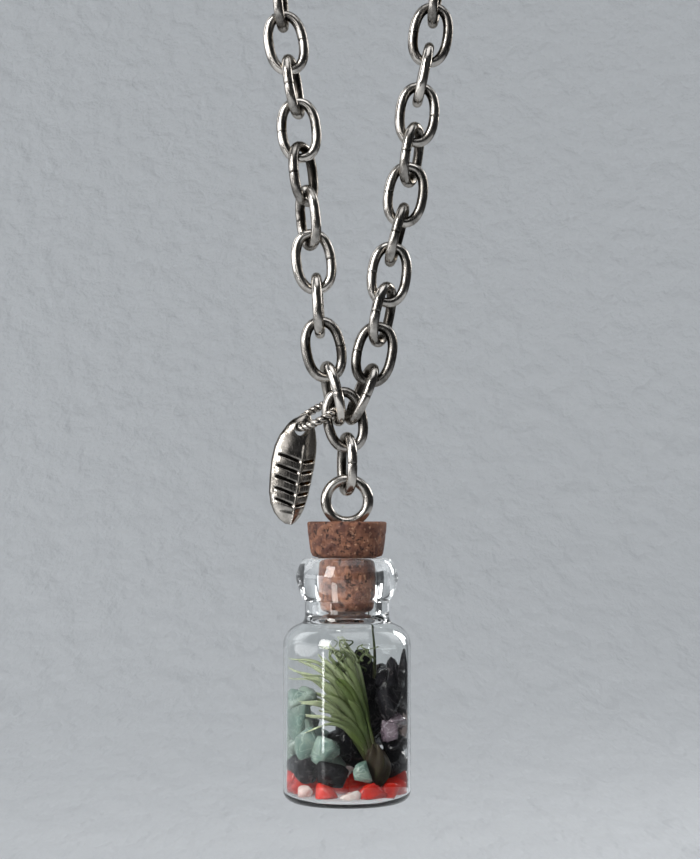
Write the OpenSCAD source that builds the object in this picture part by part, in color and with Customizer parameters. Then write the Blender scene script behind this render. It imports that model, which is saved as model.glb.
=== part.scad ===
// Bottle pendant: a corked glass vial on a cable chain, with a small feather charm.
// The necklace hangs from the inside of its loop, which is the origin. +Z is up, +X is to the
// right as it is looked at, and +Y points away. Heights in the tables of this file are counted
// from the flat top of the cork, and placed() moves the whole to the origin at the end.

/* [Chain] */
// Outer length of one link
link_length = 5.82; // [5.6:0.02:6.4]
// Outer width of one link
link_width = 3.9; // [3.9:0.05:5]
// Thickness of the link wire
link_wire = 0.88; // [0.7:0.02:0.9]
// Free play between two links of the left strand
left_play = 0.16; // [0.12:0.01:0.4]
// Links in the left strand
left_links = 56; // [40:1:70]
// Links in the right strand, which lies a little slacker
right_links = 61; // [44:1:76]
// How fast the strands spread: the pull along the loop over the weight of a millimetre of chain
strand_sag = 11.3; // [9:0.1:14]
// Share of the pendant that the left strand carries, as a length of chain
left_load = 65; // [50:1:90]
// Share of the pendant that the right strand carries, as a length of chain
right_load = 41; // [35:1:60]

/* [Clasp] */
// Length of the clasp from the tip of one eye to the other
clasp_length = 13; // [11:0.5:18]
// Diameter of the clasp's barrel
clasp_d = 3.6; // [3:0.1:5]

/* [Links at the bottom] */
// Outer length of the drop link between the centre link and the screw eye
drop_length = 5.6; // [5:0.1:7]
// Lean of the centre link to the left, in degrees
centre_lean = 11; // [6:1:12]
// Turn of the drop link from facing, in degrees
drop_turn = 72; // [64:1:90]
// Clearance between wires that hang in each other
wire_gap = 0.1; // [0.1:0.01:0.15]

/* [Charm] */
// Outer diameter of the charm's jump ring
charm_ring_d = 4.92; // [4.86:0.02:5]
// Thickness of the charm's twisted wire
charm_ring_wire = 0.54; // [0.5:0.02:0.6]
// Length of the feather charm
charm_length = 9.7; // [8:0.1:10]
// Half width of the feather charm, measured round its fold
charm_half = 2.4; // [2:0.05:2.6]
// Thickness of the feather charm's metal
charm_wall = 0.7; // [0.6:0.05:0.8]
// Hole of the charm
charm_hole_d = 1.3; // [1.2:0.05:1.4]

/* [Cork and screw eye] */
// Outer diameter of the screw eye's ring
eye_d = 4.6; // [4.2:0.1:5.5]
// Thickness of the screw eye's wire
eye_wire = 0.93; // [0.7:0.01:1]
// How deep the ring is sunk in the cork
eye_sink = 0.5; // [0.3:0.05:0.8]
// Length of the screw under the ring
shank_length = 4; // [2:0.5:5]
// Diameter of the cork at its top
cork_top_d = 6.93; // [6:0.05:8]
// Diameter of the cork just over the glass
cork_low_d = 6.2; // [5.8:0.05:7]
// Height of the cork over the glass
cork_over = 3.1; // [2.5:0.1:5]
// Length of the cork inside the neck
cork_in = 4.6; // [3:0.1:5]

/* [Glass] */
// Outer diameter of the bottle
bottle_d = 11.05; // [10:0.05:14]
// Height of the bottle from base to lip
bottle_h = 20.9; // [18:0.1:26]
// Outer diameter of the neck
neck_d = 7.3; // [7:0.1:8]
// Inner diameter of the neck
bore_d = 5.2; // [4.6:0.1:5.6]
// Outer diameter of the lip
lip_d = 8.87; // [8.4:0.05:10]
// Height of the lip
lip_h = 3.6; // [2.5:0.1:4]
// Height of the straight neck under the lip
neck_h = 2.05; // [1.5:0.05:3]
// Wall of the bottle
wall = 0.6; // [0.6:0.05:1]
// Thickness of the base
base_wall = 0.5; // [0.4:0.1:1.5]
// Radius at the edge of the base
base_round = 1; // [0.6:0.1:1.4]

/* [Filling] */
// Stone chips round the wall in one layer
ring_chips = 10; // [8:1:10]
// Half height of a chip as a share of its radius
chip_flat = 0.78; // [0.6:0.02:0.85]
// Radius of the air plant's base
plant_base_r = 0.95; // [0.7:0.05:1]
// Length of the air plant's longest blade
blade_length = 11; // [8:0.5:12]

/* [Hidden] */
silver = "#8d8880";
fine = 72;

// Half length and half width of a link along the middle of its wire
half_l = (link_length - link_wire) / 2;
half_w = (link_width - link_wire) / 2;

// Heights over the cork's top, from the screw eye up
eye_r = (eye_d - eye_wire) / 2;
eye_z = eye_d / 2 - eye_sink;
drop_low = eye_z + eye_r - (eye_wire + link_wire) / 2 - wire_gap;
drop_z = drop_low + (drop_length - link_wire) / 2;
centre_low = drop_low + drop_length - 2 * link_wire - wire_gap;
centre_x = -(half_l - half_w) * sin(centre_lean);
centre_z = centre_low + half_w + (half_l - half_w) * cos(centre_lean);

// A point given in the centre link's own plane, across and along it
function on_centre(p) = [centre_x + p[0] * cos(centre_lean) - p[1] * sin(centre_lean),
                         centre_z + p[0] * sin(centre_lean) + p[1] * cos(centre_lean)];

// Route of the strands. Sway is how far a joint between two links hangs outside the smooth curve,
// and twist is how far a link is turned about its length: 0 faces the viewer. Both start at the
// centre link and go up, and past the end of the lists the chain hangs evenly.
left_sway = [0, 0.25, 0.35, 0, 0, -0.1, -0.2, -0.3, -0.15, 0.1];
left_twist = [106, 0, 88, 0, 116, 58, 0, 76, 0, 82];
right_sway = [0, 0.55, 0.42, 0.35, 0.05, 0.3, 0.2, 0.15, -0.1, 0.1, 0.1];
right_twist = [106, 0, 66, 6, 84, 4, 68, 0, 92, 2, 84];
even_twist = [8, 98];
// Heights of the two lowest links' wires over the middle of the centre link
left_seat_z = -0.03;
right_seat_z = -0.11;
seat_x = (link_wire + 1.2 * wire_gap) / 2;

left_pitch = link_length - 2 * link_wire - left_play;
left_run = left_links * left_pitch;
// Each strand's route starts where its lowest link's joint is, a little up the link's own slope
left_foot = on_centre([-seat_x, left_seat_z]) + (half_l - left_pitch / 2) * [-0.23, 0.97];
right_foot = on_centre([seat_x, right_seat_z]) + 0.1 * link_length * [0.39, 0.92];
clasp_reach = clasp_length / 2 - link_wire - wire_gap / 2;

// A chain under its own weight: distance out and height after a run s from its foot
function arsinh(t) = ln(t + sqrt(t * t + 1));
function out_at(load, s) = strand_sag * (arsinh((load + s) / strand_sag) - arsinh(load / strand_sag));
function up_at(load, s) = norm([load + s, strand_sag]) - norm([load, strand_sag]);
function run_to(load, height) = sqrt(pow(height + norm([load, strand_sag]), 2) - pow(strand_sag, 2)) - load;
// The straight run of each strand, for a top of radius r, which both reach at one height
function left_straight(r) = left_run - r * PI / 2;
function right_straight(r) =
    run_to(right_load, left_foot[1] + up_at(left_load, left_straight(r)) - right_foot[1]);
function left_out(r) = out_at(left_load, left_straight(r)) - left_foot[0];
function right_out(r) = out_at(right_load, right_straight(r)) + right_foot[0];
// The radius of the top settles after a few rounds, since the straight run hardly depends on it
first_top_r = 18;
top_rounds = 8;
function settle(r, rounds) =
    rounds == 0 ? r : settle((left_out(r) + right_out(r)) / 2 - clasp_reach, rounds - 1);
top_r = settle(first_top_r, top_rounds);
middle_x = (right_out(top_r) - left_out(top_r)) / 2;
top_z = left_foot[1] + up_at(left_load, left_straight(top_r)) + top_r;
right_run = right_straight(top_r) + top_r * PI / 2;
origin_z = top_z - clasp_d / 2;

// A point of a strand at run s from its foot: side is -1 left and 1 right
function strand_at(side, foot, load, straight, s) =
    s < straight
        ? [foot[0] + side * out_at(load, s), foot[1] + up_at(load, s)]
        : let (turn = (s - straight) / top_r * 180 / PI)
          [middle_x + side * (clasp_reach + top_r * cos(turn)), top_z - top_r + top_r * sin(turn)];
function sway_at(list, i) = i < len(list) ? list[i] : 0;
function twist_at(list, i) = i < len(list) ? list[i] : even_twist[(i - len(list)) % 2];

// Feather charm
charm_fold = 28;
charm_tilt = 9.5;
charm_relief = 0.16;
charm_rows = 60;
charm_cols = 12;
// Barbs in the feather's whole length, where their grooves start, and how much they slant
charm_barbs = 10;
barb_from = 0.05;
barb_slant = 0.05;
barb_low = 0.12;
barb_high = 0.66;
rib_half = 0.1;
// The jump ring goes round the centre link's upper left. Its middle is given from the centre
// link's, its lean is from upright and its turn is about the vertical. It carries the charm at
// its lowest point.
ring_r = (charm_ring_d - charm_ring_wire) / 2;
ring_mid = [centre_x - 2.3, 1.21, centre_z + 0.58];
ring_lean = 56;
ring_turn = 57.5;
charm_turn = 90 - ring_turn;
ring_low = ring_mid
    - ring_r * [sin(ring_lean) * sin(ring_turn), sin(ring_lean) * cos(ring_turn), cos(ring_lean)];
// Outline of the feather: columns are height and half width, as shares of its length and half width
FEATHER_UP = 0;
FEATHER_HALF = 1;
feather = [[0, 0.14], [0.03, 0.36], [0.08, 0.57], [0.16, 0.77], [0.26, 0.89], [0.4, 0.96], [0.55, 1],
           [0.68, 0.97], [0.78, 0.86], [0.87, 0.66], [0.94, 0.42], [1, 0.14]];
// Where the charm's hole is, as shares of its half width and its length, and how far its middle is
// from the wire that it hangs on
hole_across = -0.21;
hole_up = 0.865;
hole_slack = [0, 0.1, -0.1];

// Cork and glass
cork_clear = 0.06;
cork_plug_d = bore_d - 2 * cork_clear;
cork_end_d = 0.9 * cork_plug_d;
cork_edge = 0.35;
lip_z = -cork_over - 0.04;
base_z = lip_z - bottle_h;
neck_z = lip_z - lip_h;
shoulder_r = (bottle_d - neck_d) / 2;
shoulder_z = neck_z - neck_h - shoulder_r;
inner_r = bottle_d / 2 - wall;
floor_z = base_z + base_wall;
inner_shoulder_r = inner_r - bore_d / 2;
inner_shoulder_z = shoulder_z - 0.15;
inner_round = 0.9 * base_round;

// Filling: each row of the chart is a layer of chips round the wall, from the floor up, and starts
// at the front and goes to the right. r is red, k black, g green, c clear and p purple.
chip_gap = 0.12;
chip_r = ((inner_r - chip_gap) * sin(180 / ring_chips) - chip_gap / 2) / (1 + sin(180 / ring_chips));
chip_ring_r = inner_r - chip_r - chip_gap;
chip_pitch = 2 * chip_flat * chip_r + chip_gap;
wall_chart = ["crrrrcrrrr", "k.kkrkkgkk", "..kkkkgggg", "..pkkk.ggg", "..kkk...g.", "..kkk.....",
              "..kk......"];
// The chips in the middle of a layer start at the back right and go round to the left
middle_chips = 4;
middle_chart = ["rrrr", "kkg.", "kk..", "k...", "k..."];
middle_chip_r = 0.84 * chip_r;
middle_ring_r = (middle_chip_r + chip_gap / 2) / sin(180 / middle_chips);
chip_low = floor_z + chip_flat * chip_r + chip_gap;
function chip_seed(layer, slot) = 7 + 31 * layer + 3 * slot;
// Corners of a chip, and the turns in degrees between two of them and between two seeds
chip_corners = 14;
corner_turn = 97;
seed_turn = 17;

// Air plant: columns are the direction that a blade leans to, its lean from upright at its foot,
// how much further it bends over its length, and its length as a share of the longest
BLADE_TO = 0;
BLADE_LEAN = 1;
BLADE_BEND = 2;
BLADE_LONG = 3;
blades = [[172, 6, 12, 1], [158, 18, 12, 0.95], [176, 26, 0, 0.92], [170, 36, -6, 0.8],
          [128, 8, 22, 0.9], [178, 12, 22, 0.86], [100, 14, 16, 0.7], [160, 44, -14, 0.66],
          [146, 30, 2, 0.8], [70, 4, 10, 0.56], [164, 2, 8, 0.9], [115, 22, 10, 0.6],
          [174, 16, 30, 0.74]];
plant_to = -54;
plant_r = inner_r * 0.61;
plant_x = plant_r * cos(plant_to);
plant_y = plant_r * sin(plant_to);
plant_z = chip_low + chip_flat * chip_r + chip_gap;
plant_h = 1.2 * chip_pitch;
plant_lean = -0.5;
blade_w = 0.75;
blade_thick = 0.6;
blade_tip = 0.28;
blade_parts = 5;

// Moves a piece from heights over the cork to the hanging point as origin
module placed() {
    translate([-middle_x, 0, -origin_z]) children();
}

// An arc of round wire in the XZ plane, from an angle over +X
module wire_arc(radius, wire, from, sweep) {
    rotate([90, 0, 0]) rotate([0, 0, from])
        rotate_extrude(angle = sweep, $fn = fine) translate([radius, 0]) circle(d = wire, $fn = 24);
}

// A closed ring of round wire in the XZ plane
module wire_ring(radius, wire) {
    rotate([90, 0, 0]) rotate_extrude($fn = fine) translate([radius, 0]) circle(d = wire, $fn = 24);
}

// One link with round ends, in the XZ plane, its length along Z
module oval_link(length = link_length) {
    straight = (length - link_wire) / 2 - half_w;
    for (end = [0, 180]) rotate([0, end, 0]) {
        translate([0, 0, straight]) wire_arc(half_w, link_wire, 0, 180);
        translate([half_w, 0, -straight]) cylinder(d = link_wire, h = 2 * straight, $fn = 24);
    }
}

// A link between two joints of the chain
module strand_link(low, high, twist) {
    middle = (low + high) / 2;
    translate([middle[0], 0, middle[1]])
        rotate([0, atan2(high[0] - low[0], high[1] - low[1]), 0]) rotate([0, 0, twist]) oval_link();
}

// One strand from the centre link to the clasp
module strand(side, foot, load, straight, run, links, sways, twists) {
    pitch = run / links;
    joints = [for (i = [0 : links])
              strand_at(side, foot, load, straight, i * pitch) + [side * sway_at(sways, i), 0]];
    for (i = [0 : links - 1]) strand_link(joints[i], joints[i + 1], twist_at(twists, i));
}

module chain_left() {
    color(silver) placed()
        strand(-1, left_foot, left_load, left_straight(top_r), left_run, left_links, left_sway, left_twist);
}

module chain_right() {
    color(silver) placed()
        strand(1, right_foot, right_load, right_straight(top_r), right_run, right_links, right_sway,
               right_twist);
}

// Barrel with a fixed eye on a short neck at each end, which the last links hang in
module clasp() {
    clasp_eye_r = 1.3 * link_wire;
    neck = 0.5;
    barrel = clasp_length - 4 * clasp_eye_r - 2 * link_wire - 2 * neck;
    neck_reach = clasp_length / 2 - link_wire / 2 - 2 * clasp_eye_r;
    color(silver) placed() translate([middle_x, 0, top_z]) {
        rotate([0, 90, 0]) rotate_extrude($fn = fine)
            polygon([[0, -barrel / 2], [clasp_d / 2 - 0.5, -barrel / 2], [clasp_d / 2, -barrel / 2 + 0.5],
                     [clasp_d / 2, barrel / 2 - 0.5], [clasp_d / 2 - 0.5, barrel / 2], [0, barrel / 2]]);
        rotate([0, 90, 0]) cylinder(d = 0.8 * link_wire, h = 2 * neck_reach, center = true, $fn = 24);
        // Each eye stands square to the link that hangs in it
        for (end = [[-1, twist_at(left_twist, left_links - 1)], [1, twist_at(right_twist, right_links - 1)]])
            translate([end[0] * (clasp_length / 2 - link_wire / 2 - clasp_eye_r), 0, 0])
                rotate([end[1] + 90, 0, 0]) wire_ring(clasp_eye_r, link_wire);
    }
}

module centre_link() {
    color(silver) placed() translate([centre_x, 0, centre_z]) rotate([0, -centre_lean, 0]) oval_link();
}

module drop_link() {
    color(silver) placed() translate([0, 0, drop_z]) rotate([0, 0, -drop_turn]) oval_link(drop_length);
}

module charm_ring() {
    color("#7f7a73") placed() translate(ring_mid) rotate([-ring_lean, 0, -ring_turn])
        wire_ring(ring_r, charm_ring_wire);
}

// A folded feather with raised barbs on both halves of its face, grown row by row
module feather_charm() {
    function half_at(v, i = 0) =
        v <= feather[i + 1][FEATHER_UP] || i == len(feather) - 2
            ? let (a = feather[i], b = feather[i + 1])
              a[FEATHER_HALF] + (b[FEATHER_HALF] - a[FEATHER_HALF])
                  * (v - a[FEATHER_UP]) / (b[FEATHER_UP] - a[FEATHER_UP])
            : half_at(v, i + 1);
    // Depth of the barbs' grooves: they slant from the midrib, and the top of the feather is smooth
    function barb(u, v) =
        let (step = (v - barb_from - barb_slant * abs(u)) * charm_barbs, part = step - floor(step))
        v > barb_high || v < barb_low || abs(u) > 0.82 || abs(u) < rib_half || part > 0.3 ? 0 : charm_relief;
    function rib(u, v) = abs(u) < rib_half && v < 0.7 ? 0.6 * charm_relief : 0;
    function across(u) = charm_half * u * cos(charm_fold);
    function back(u) = charm_half * sin(charm_fold) * pow(abs(u), 1.5);
    function face(u, v, side) = let (w = half_at(v), edge = 1 - 0.55 * pow(abs(u), 6))
        [across(u) * w, back(u) * w + side * charm_wall / 2 * edge
                        + (side < 0 ? barb(u, v) - rib(u, v) : 0), charm_length * v];
    us = [for (j = [0 : charm_cols]) let (t = 2 * j / charm_cols - 1) sign(t) * pow(abs(t), 0.9)];
    vs = [for (i = [0 : charm_rows]) i / charm_rows];
    n = charm_cols + 1;
    sheet = (charm_rows + 1) * n;
    points = [for (side = [-1, 1]) for (v = vs) for (u = us) face(u, v, side)];
    function cell(a, b, c, d) = [[a, b, c], [a, c, d]];
    front = [for (i = [0 : charm_rows - 1]) for (j = [0 : charm_cols - 1]) let (k = i * n + j)
             each cell(k, k + n, k + n + 1, k + 1)];
    rear = [for (i = [0 : charm_rows - 1]) for (j = [0 : charm_cols - 1]) let (k = sheet + i * n + j)
            each cell(k, k + 1, k + n + 1, k + n)];
    sides = [for (i = [0 : charm_rows - 1]) each concat(
             cell(i * n, sheet + i * n, sheet + (i + 1) * n, (i + 1) * n),
             cell(i * n + charm_cols, (i + 1) * n + charm_cols, sheet + (i + 1) * n + charm_cols,
                  sheet + i * n + charm_cols))];
    last = charm_rows * n;
    ends = [for (j = [0 : charm_cols - 1]) each concat(
            cell(j, j + 1, sheet + j + 1, sheet + j),
            cell(last + j, sheet + last + j, sheet + last + j + 1, last + j + 1))];
    hole = [charm_half * hole_across * cos(charm_fold), charm_length * hole_up];
    color("#77726c") placed()
        translate(ring_low + hole_slack) rotate([0, charm_tilt, 0]) rotate([0, 0, charm_turn])
            translate([-hole[0], 0, -hole[1]]) difference() {
                polyhedron(points = points, faces = concat(front, rear, sides, ends), convexity = 6);
                translate([hole[0], 0, hole[1]]) rotate([90, 0, 0])
                    cylinder(d = charm_hole_d, h = 6, center = true, $fn = 32);
            }
}

module screw_eye() {
    color(silver) placed() {
        translate([0, 0, eye_z]) wire_ring(eye_r, eye_wire);
        translate([0, 0, eye_z - eye_r - shank_length]) cylinder(d = eye_wire, h = shank_length, $fn = 32);
    }
}

module cork() {
    color("#9a5f45") placed() difference() {
        rotate_extrude($fn = fine)
            polygon([[0, 0], [cork_top_d / 2 - 0.12, 0], [cork_top_d / 2, -0.12],
                     [cork_low_d / 2, -cork_over + cork_edge], [cork_low_d / 2 - cork_edge, -cork_over],
                     [cork_plug_d / 2, -cork_over], [cork_plug_d / 2, -cork_over - cork_in * 0.55],
                     [cork_end_d / 2, -cork_over - cork_in + 0.3],
                     [cork_end_d / 2 - 0.3, -cork_over - cork_in], [0, -cork_over - cork_in]]);
        translate([0, 0, eye_z]) wire_ring(eye_r, eye_wire + 2 * cork_clear);
        translate([0, 0, eye_z - eye_r - shank_length - cork_clear])
            cylinder(d = eye_wire + 2 * cork_clear, h = shank_length + cork_clear, $fn = 32);
    }
}

// Points of a quarter turn in the glass's profile
function quarter(x, z, r, from, to) = [for (i = [0 : 6]) let (a = from + (to - from) * i / 6)
                                       [x + r * cos(a), z + r * sin(a)]];

module bottle() {
    bulge = (lip_d - neck_d) / 2;
    outside = concat(
        [[0, base_z]],
        quarter(bottle_d / 2 - base_round, base_z + base_round, base_round, -90, 0),
        quarter(bottle_d / 2 - shoulder_r, shoulder_z, shoulder_r, 0, 90),
        [[neck_d / 2, neck_z], [neck_d / 2 + 0.45 * bulge, neck_z + 0.12 * lip_h],
         [neck_d / 2 + 0.9 * bulge, neck_z + 0.42 * lip_h], [lip_d / 2, neck_z + 0.53 * lip_h],
         [neck_d / 2 + 0.88 * bulge, neck_z + 0.66 * lip_h], [neck_d / 2 + 0.5 * bulge, lip_z - 0.35],
         [neck_d / 2 + 0.1 * bulge, lip_z - 0.06], [neck_d / 2 - 0.25, lip_z]]);
    inside = concat(
        [[bore_d / 2 + 0.25, lip_z], [bore_d / 2, lip_z - 0.25]],
        quarter(inner_r - inner_shoulder_r, inner_shoulder_z, inner_shoulder_r, 90, 0),
        quarter(inner_r - inner_round, floor_z + inner_round, inner_round, 0, -90),
        [[0, floor_z]]);
    color("#dfe8e6", 0.35) placed() rotate_extrude($fn = fine) polygon(concat(outside, inside));
}

// A broken chip of stone with a radius of at most r, flattened in height. Its corners go round it
// in three rings, with one more above and one below.
module chip(r, seed) {
    reach = rands(0.8, 1, chip_corners, seed);
    corners = [for (i = [0 : chip_corners - 1])
               let (up = i == 0 ? 1 : i == chip_corners - 1 ? -1 : (i % 3 - 1) * 0.62,
                    flat = sqrt(1 - up * up),
                    to = i * corner_turn + seed * seed_turn)
               r * reach[i] * [flat * cos(to), flat * sin(to), chip_flat * up]];
    hull() polyhedron(points = corners, faces = [[for (i = [0 : chip_corners - 1]) i]]);
}

// All chips of one letter of the charts
module chips(letter) {
    for (layer = [0 : len(wall_chart) - 1]) for (slot = [0 : ring_chips - 1])
        if (wall_chart[layer][slot] == letter)
            rotate([0, 0, -90 + slot * 360 / ring_chips])
                translate([chip_ring_r, 0, chip_low + layer * chip_pitch])
                    chip(chip_r, chip_seed(layer, slot));
    for (layer = [0 : len(middle_chart) - 1]) for (slot = [0 : middle_chips - 1])
        if (middle_chart[layer][slot] == letter)
            rotate([0, 0, 45 + slot * 360 / middle_chips])
                translate([middle_ring_r, 0, chip_low + layer * chip_pitch])
                    chip(middle_chip_r, chip_seed(layer, slot + ring_chips));
}

module red_chips() {
    color("#c8301c") placed() chips("r");
}

module black_chips() {
    color("#1c1a1c") placed() chips("k");
}

module green_chips() {
    color("#9fb8a8") placed() chips("g");
}

module clear_chips() {
    color("#d9cfc8") placed() chips("c");
}

module purple_chip() {
    color("#a08aa6") placed() chips("p");
}

// One blade: a chain of flat hulls that thins to its tip
module blade(row) {
    function lean(t) = row[BLADE_LEAN] + row[BLADE_BEND] * t;
    long = blade_length * row[BLADE_LONG];
    function way(i) = i == 0 ? [0, 0] : way(i - 1) + long / blade_parts
        * [sin(lean((i - 0.5) / blade_parts)), cos(lean((i - 0.5) / blade_parts))];
    rotate([0, 0, row[BLADE_TO]]) for (i = [0 : blade_parts - 1]) hull() for (k = [i, i + 1])
        translate([way(k)[0], 0, way(k)[1]]) rotate([0, lean(k / blade_parts), 0])
            scale([blade_thick, 1, blade_thick])
                sphere(d = blade_w * (1 - (1 - blade_tip) * k / blade_parts), $fn = 8);
}

module air_plant() {
    color("#6f8f45") placed() translate([plant_x, plant_y, plant_z]) {
        hull() {
            translate([0, 0, 0.5 * plant_base_r]) sphere(r = 0.5 * plant_base_r, $fn = 12);
            translate([0.4 * plant_lean, 0, 0.5 * plant_h]) sphere(r = plant_base_r, $fn = 16);
            translate([plant_lean, 0, plant_h]) sphere(r = 0.6 * plant_base_r, $fn = 12);
        }
        for (row = blades) translate([plant_lean, 0, 0.8 * plant_h]) blade(row);
    }
}

chain_left();
chain_right();
clasp();
centre_link();
drop_link();
charm_ring();
feather_charm();
screw_eye();
cork();
bottle();
air_plant();
red_chips();
black_chips();
green_chips();
clear_chips();
purple_chip();
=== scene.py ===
"""Bottle pendant: a corked glass vial on a cable chain, dressed over its solid frame.

Sizes are in millimetres over the cork's flat top, as in the part's source, and placed() turns
them into metres over the hanging point.
"""
import math

import bpy
import numpy as np
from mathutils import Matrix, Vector


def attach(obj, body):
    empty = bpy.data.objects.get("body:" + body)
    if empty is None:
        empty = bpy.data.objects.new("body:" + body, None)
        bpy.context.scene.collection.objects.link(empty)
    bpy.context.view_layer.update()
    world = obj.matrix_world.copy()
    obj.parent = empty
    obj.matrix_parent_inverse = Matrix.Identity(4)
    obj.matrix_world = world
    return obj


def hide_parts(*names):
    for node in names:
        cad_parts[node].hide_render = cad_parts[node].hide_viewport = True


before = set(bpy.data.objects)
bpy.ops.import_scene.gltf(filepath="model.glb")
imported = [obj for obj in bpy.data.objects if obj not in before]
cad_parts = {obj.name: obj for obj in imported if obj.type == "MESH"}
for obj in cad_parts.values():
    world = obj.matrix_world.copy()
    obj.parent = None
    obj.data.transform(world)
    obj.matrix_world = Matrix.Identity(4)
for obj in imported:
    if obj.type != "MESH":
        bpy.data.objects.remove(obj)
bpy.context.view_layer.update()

# The source's own values
LINK_L, LINK_W, WIRE = 5.82, 3.9, 0.88
PLAY, LEFT_LINKS, RIGHT_LINKS = 0.16, 56, 61
SAG, LEFT_LOAD, RIGHT_LOAD = 11.3, 65, 41
CLASP_REACH = 5.57
MIDDLE_X, ORIGIN_Z = 1.89484, 217.741
TOP_R, TOP_Z = 12.8383, 219.541
LEFT_SWAY = [0, 0.25, 0.35, 0, 0, -0.1, -0.2, -0.3, -0.15, 0.1]
LEFT_TWIST = [106, 0, 88, 0, 116, 58, 0, 76, 0, 82]
RIGHT_SWAY = [0, 0.55, 0.42, 0.35, 0.05, 0.3, 0.2, 0.15, -0.1, 0.1, 0.1]
RIGHT_TWIST = [106, 0, 66, 6, 84, 4, 68, 0, 92, 2, 84]
EVEN_TWIST = [8, 98]
LEFT_FOOT, RIGHT_FOOT = np.array([-0.787866, 9.20191]), np.array([0.555606, 9.34523])
CENTRE_LEAN, CENTRE = 11, np.array([-0.18317, 0.0, 8.82236])
DROP_LOW, DROP_L, DROP_TURN = 2.63, 5.6, 72
EYE_D, EYE_WIRE, EYE_Z, SCREW_L = 4.6, 0.93, 1.8, 4
RING_R, RING_MID, RING_LEAN, RING_TURN = 2.19, np.array([-2.48318, 1.21, 9.40236]), 56, 57.5
FLOOR_Z, BASE_Z = -23.54, -24.04
# A thinner wall than the source's, so that the filling reaches the edges of the glass
INNER_R = 5.25
# Radius of the small flat where a turned surface meets its axis
AXIS_R = 0.06
FULL_TURN = 2 * math.pi


def placed(v):
    """Metres over the hanging point, from millimetres over the cork's top."""
    return (np.asarray(v) - [MIDDLE_X, 0, ORIGIN_Z]) / 1000


def turn_x(a):
    """Turn of a degrees about X."""
    c, s = math.cos(math.radians(a)), math.sin(math.radians(a))
    return np.array([[1, 0, 0], [0, c, -s], [0, s, c]])


def turn_y(a):
    """Turn of a degrees about Y."""
    c, s = math.cos(math.radians(a)), math.sin(math.radians(a))
    return np.array([[c, 0, s], [0, 1, 0], [-s, 0, c]])


def turn_z(a):
    """Turn of a degrees about Z."""
    c, s = math.cos(math.radians(a)), math.sin(math.radians(a))
    return np.array([[c, -s, 0], [s, c, 0], [0, 0, 1]])


def around(steps):
    """Even angles round a full turn."""
    return np.linspace(0, FULL_TURN, steps, endpoint=False)


def unit(v):
    """The directions of rows of vectors."""
    return v / np.linalg.norm(v, axis=1)[:, None]


def fade(value, start, run):
    """0 up to start, even over the run and 1 past it."""
    return np.clip((value - start) / run, 0, 1)


def wave(p, seed, size):
    """Smooth bumps of about -1 to 1: 1.8 times the mean of eight plane waves in seeded directions."""
    rng = np.random.default_rng(seed)
    ways = unit(rng.normal(size=(8, 3))) / (rng.uniform(0.5, 1.2, (8, 1)) * size / FULL_TURN)
    return np.sin(p @ ways.T + rng.uniform(0, 7, 8)).mean(axis=-1) * 1.8


def ball_rows(rows, cols, first):
    """Points of a unit ball as rows from pole to pole, the first row at that angle from its pole."""
    lat = np.linspace(first, math.pi - first, rows)[:, None]
    lon = around(cols)
    return np.stack([np.sin(lat) * np.cos(lon), np.sin(lat) * np.sin(lon), np.cos(lat) + 0 * lon], -1)


def grid_faces(rows, cols, wrap_rows=False, wrap_cols=False):
    """Quads of a grid of rows x cols points, closed round either way if asked."""
    i = np.arange(rows if wrap_rows else rows - 1)[:, None]
    j = np.arange(cols if wrap_cols else cols - 1)[None, :]
    a, b = i * cols + j, i * cols + (j + 1) % cols
    d, c = (i + 1) % rows * cols + j, (i + 1) % rows * cols + (j + 1) % cols
    return np.stack([a, b, c, d], -1).reshape(-1, 4)


def ring_faces(rows, cols):
    """Quads of a closed ring whose section has that many columns."""
    return grid_faces(rows, cols, wrap_rows=True, wrap_cols=True)


def capped(rows, cols):
    """Quads of a tube of rows x cols points, an even number round it, whose two ends are closed by
    strips from side to side."""
    k = np.arange(cols // 2 - 1)
    cap = np.stack([k, k + 1, cols - 2 - k, cols - 1 - k], -1)
    return np.concatenate([grid_faces(rows, cols, wrap_cols=True), cap[:, ::-1], (rows - 1) * cols + cap])


def join(pieces):
    """The points, quads and marks of several pieces, each a tuple of them, as one mesh's."""
    points, quads, *marks = zip(*pieces)
    starts = np.cumsum([0] + [len(p) for p in points[:-1]])
    quads = np.concatenate([q + start for q, start in zip(quads, starts)])
    return np.concatenate(points), quads, *(np.concatenate(mark) for mark in marks)


def solid(name, body, material, points, quads, node, slot, **marks):
    """A mesh object from points in millimetres and quads, facing outwards, with one value a point
    for each mark that its material reads."""
    v = placed(points)
    q = np.asarray(quads)
    a, b, c, d = (v[q[:, k]] for k in range(4))
    volume = np.einsum("ij,ij->i", a, np.cross(b, c)) + np.einsum("ij,ij->i", a, np.cross(c, d))
    if volume.sum() < 0:
        q = q[:, ::-1]
    mesh = bpy.data.meshes.new(name)
    mesh.vertices.add(len(v))
    mesh.vertices.foreach_set("co", v.astype(np.float32).ravel())
    mesh.loops.add(q.size)
    mesh.loops.foreach_set("vertex_index", q.astype(np.int32).ravel())
    mesh.polygons.add(len(q))
    mesh.polygons.foreach_set("loop_start", np.arange(0, q.size, 4, dtype=np.int32))
    mesh.polygons.foreach_set("use_smooth", np.ones(len(q), dtype=bool))
    mesh.update(calc_edges=True)
    mesh.validate()
    for mark, value in marks.items():
        layer = mesh.attributes.new(mark, "FLOAT", "POINT")
        layer.data.foreach_set("value", np.broadcast_to(value, len(v)).astype(np.float32).ravel())
    mesh.materials.append(material)
    obj = bpy.data.objects.new(name, mesh)
    bpy.context.scene.collection.objects.link(obj)
    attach(obj, body)
    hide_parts(node)


# Materials

def nodes_of(material):
    """The node tree of a material or of the world."""
    material.use_nodes = True
    return material.node_tree


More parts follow.
